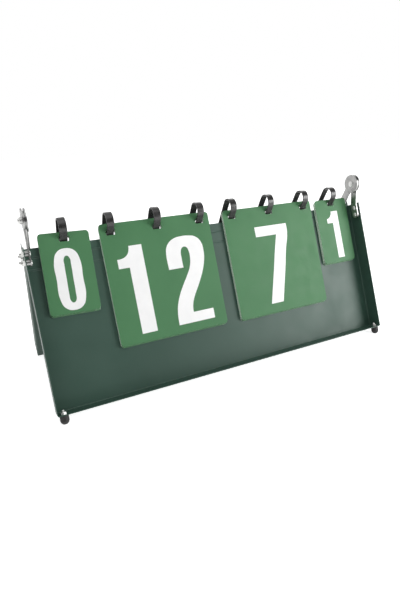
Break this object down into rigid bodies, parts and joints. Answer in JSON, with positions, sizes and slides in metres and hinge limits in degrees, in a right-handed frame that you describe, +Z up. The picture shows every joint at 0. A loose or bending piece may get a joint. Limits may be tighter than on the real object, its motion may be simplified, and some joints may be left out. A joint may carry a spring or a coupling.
{
  "type": "tabletop flip scoreboard",
  "caption": "A-frame tabletop scoreboard: two hinged sheet-steel trays on rubber feet, with number cards that flip over oval rings.",
  "frame": {"origin": "on the table, under the middle of the hinge axis, at the bottom centre of the bounding box", "axes": "+X to the right of a reader in front of the cards, -Y towards that reader, +Z up"},
  "size_m": [0.5984, 0.2242, 0.2738],
  "materials": {
    "tray_paint": "dark green satin enamel",
    "zinc_steel": "zinc plated",
    "foot_rubber": "matt black",
    "ring_plastic": "glossy black",
    "card_plastic": "green, smooth"
  },
  "bodies": {
    "front_case": {"front_tray": "tray_paint", "front_feet": "foot_rubber", "front_foot_screws": "zinc_steel", "front_foot_nuts": "zinc_steel", "front_arm_left": "zinc_steel", "front_arm_right": "zinc_steel", "hinge_pin_left": "zinc_steel", "hinge_pin_right": "zinc_steel", "hinge_washers": "zinc_steel", "front_spacers": "zinc_steel", "front_bolts": "zinc_steel", "front_nuts": "zinc_steel", "ring_small_left": "ring_plastic", "rings_big_left": "ring_plastic", "rings_big_right": "ring_plastic", "ring_small_right": "ring_plastic", "pile_small_left": "card_plastic", "pile_big_left": "card_plastic", "pile_big_right": "card_plastic", "pile_small_right": "card_plastic"},
    "rear_case": {"rear_tray": "tray_paint", "rear_feet": "foot_rubber", "rear_foot_screws": "zinc_steel", "rear_foot_nuts": "zinc_steel", "rear_arm_left": "zinc_steel", "rear_arm_right": "zinc_steel", "rear_spacers": "zinc_steel", "rear_bolts": "zinc_steel", "rear_nuts": "zinc_steel"},
    "card_small_left": {"flip_small_left": "card_plastic"},
    "card_big_left": {"flip_big_left": "card_plastic"},
    "card_big_right": {"flip_big_right": "card_plastic"},
    "card_small_right": {"flip_small_right": "card_plastic"}
  },
  "joints": [
    {"name": "fold_hinge", "type": "hinge", "parent": "front_case", "child": "rear_case", "pos_m": [0, 0, 0.25783], "axis": [1, 0, 0], "range_deg": [0, 311.6]},
    {"name": "flip_small_left_hinge", "type": "hinge", "parent": "front_case", "child": "card_small_left", "pos_m": [0, 0.01346, 0.23753], "axis": [-1, 0, 0], "range_deg": [0, 200]},
    {"name": "flip_big_left_hinge", "type": "hinge", "parent": "front_case", "child": "card_big_left", "pos_m": [0, 0.01346, 0.23753], "axis": [-1, 0, 0], "range_deg": [0, 200]},
    {"name": "flip_big_right_hinge", "type": "hinge", "parent": "front_case", "child": "card_big_right", "pos_m": [0, 0.01346, 0.23753], "axis": [-1, 0, 0], "range_deg": [0, 200]},
    {"name": "flip_small_right_hinge", "type": "hinge", "parent": "front_case", "child": "card_small_right", "pos_m": [0, 0.01346, 0.23753], "axis": [-1, 0, 0], "range_deg": [0, 200]}
  ]
}
